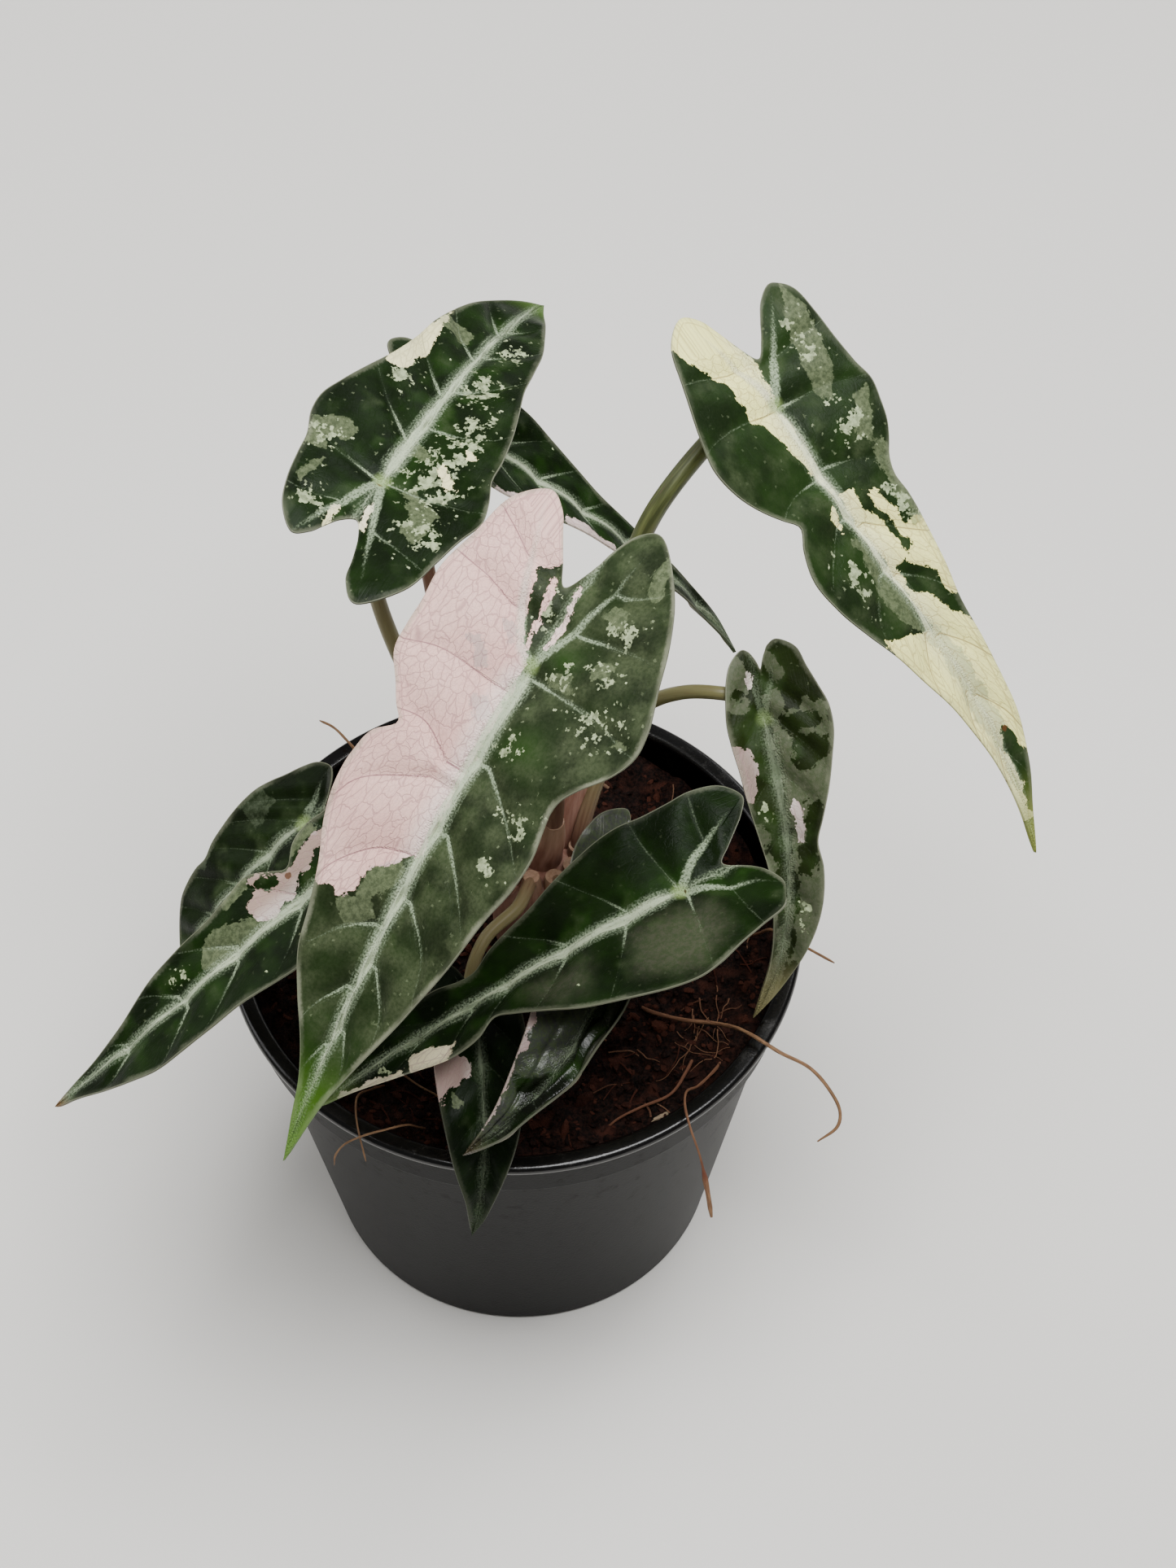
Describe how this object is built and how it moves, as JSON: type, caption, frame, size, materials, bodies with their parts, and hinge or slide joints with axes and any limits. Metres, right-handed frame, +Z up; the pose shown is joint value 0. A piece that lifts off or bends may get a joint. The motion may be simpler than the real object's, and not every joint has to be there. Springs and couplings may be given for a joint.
{
  "type": "potted variegated alocasia",
  "caption": "Alocasia with arrow-shaped leaves marbled dark green, cream and pale pink on slim stems, standing in a round black nursery pot of dark bark soil.",
  "frame": {"origin": "centre of the pot's underside, on the surface that it stands on", "axes": "+Z up along the pot's axis; -Y is the plant's front, the side that the largest pink and green leaf hangs towards; +X is to the right seen from the front"},
  "size_m": [0.1965, 0.1795, 0.2125],
  "materials": {
    "black_plastic": "smooth satin moulded black plastic",
    "bark_soil": "damp dark reddish-brown bark and peat",
    "sheath": "smooth pinkish-brown leaf sheaths",
    "stem": "smooth olive to pinkish-brown stalk",
    "leaf_pink": "half pale pink and half marbled green, waxy satin",
    "leaf_cream": "green marbled with cream, waxy satin",
    "leaf_green": "dark green flecked with grey-green, waxy satin with silvery veins",
    "root": "matt pale brown bare root"
  },
  "bodies": {
    "root": {"pot": "black_plastic", "soil": "bark_soil", "crown": "sheath", "leaf_pink_front": "leaf_pink", "stem_pink_front": "stem", "leaf_back_left": "leaf_green", "stem_back_left": "stem", "leaf_back_right": "leaf_cream", "stem_back_right": "stem", "leaf_right_hanging": "leaf_green", "stem_right_hanging": "stem", "leaf_front_right": "leaf_green", "stem_front_right": "stem", "leaf_left_back": "leaf_green", "stem_left_back": "stem", "leaf_left_low": "leaf_green", "stem_left_low": "stem", "leaf_back": "leaf_green", "stem_back": "stem", "leaf_front_low": "leaf_green", "stem_front_low": "stem", "leaf_curled": "leaf_green", "stem_curled": "stem", "root_over_right_rim": "root", "root_over_front_rim": "root", "root_on_soil": "root", "root_left_front": "root", "root_over_left_rim": "root", "root_left_tail": "root", "root_right_stub": "root", "root_back_left": "root"}
  },
  "joints": []
}
